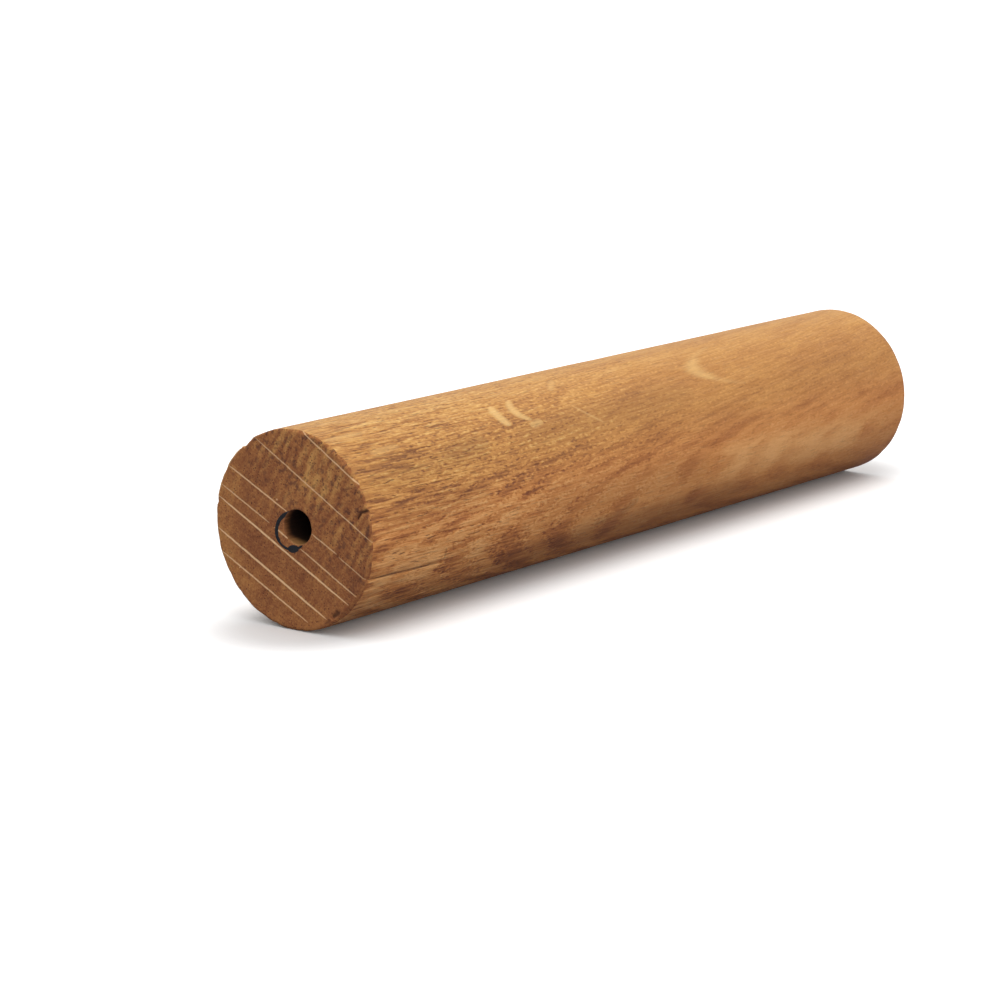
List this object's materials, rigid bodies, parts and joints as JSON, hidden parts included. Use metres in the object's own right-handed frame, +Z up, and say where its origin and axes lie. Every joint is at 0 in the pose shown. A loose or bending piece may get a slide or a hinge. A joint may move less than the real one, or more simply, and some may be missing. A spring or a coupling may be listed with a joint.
{
  "type": "round wooden mallet body",
  "caption": "Plain round hardwood mallet body with square-cut ends and a small blind bore in one end, beside the pen circle drawn to place it.",
  "frame": {"origin": "on the surface that the bar lies on, halfway along it and under its axis", "axes": "+X along the bar from the bored end to the plain end, +Z up"},
  "size_m": [0.205, 0.04, 0.04],
  "materials": {
    "oak": "bare oak, planed round, satin",
    "pen_ink": "dried blue-black ink, matte"
  },
  "bodies": {
    "root": {"mallet_body": "oak", "pen_mark": "pen_ink"}
  },
  "joints": []
}
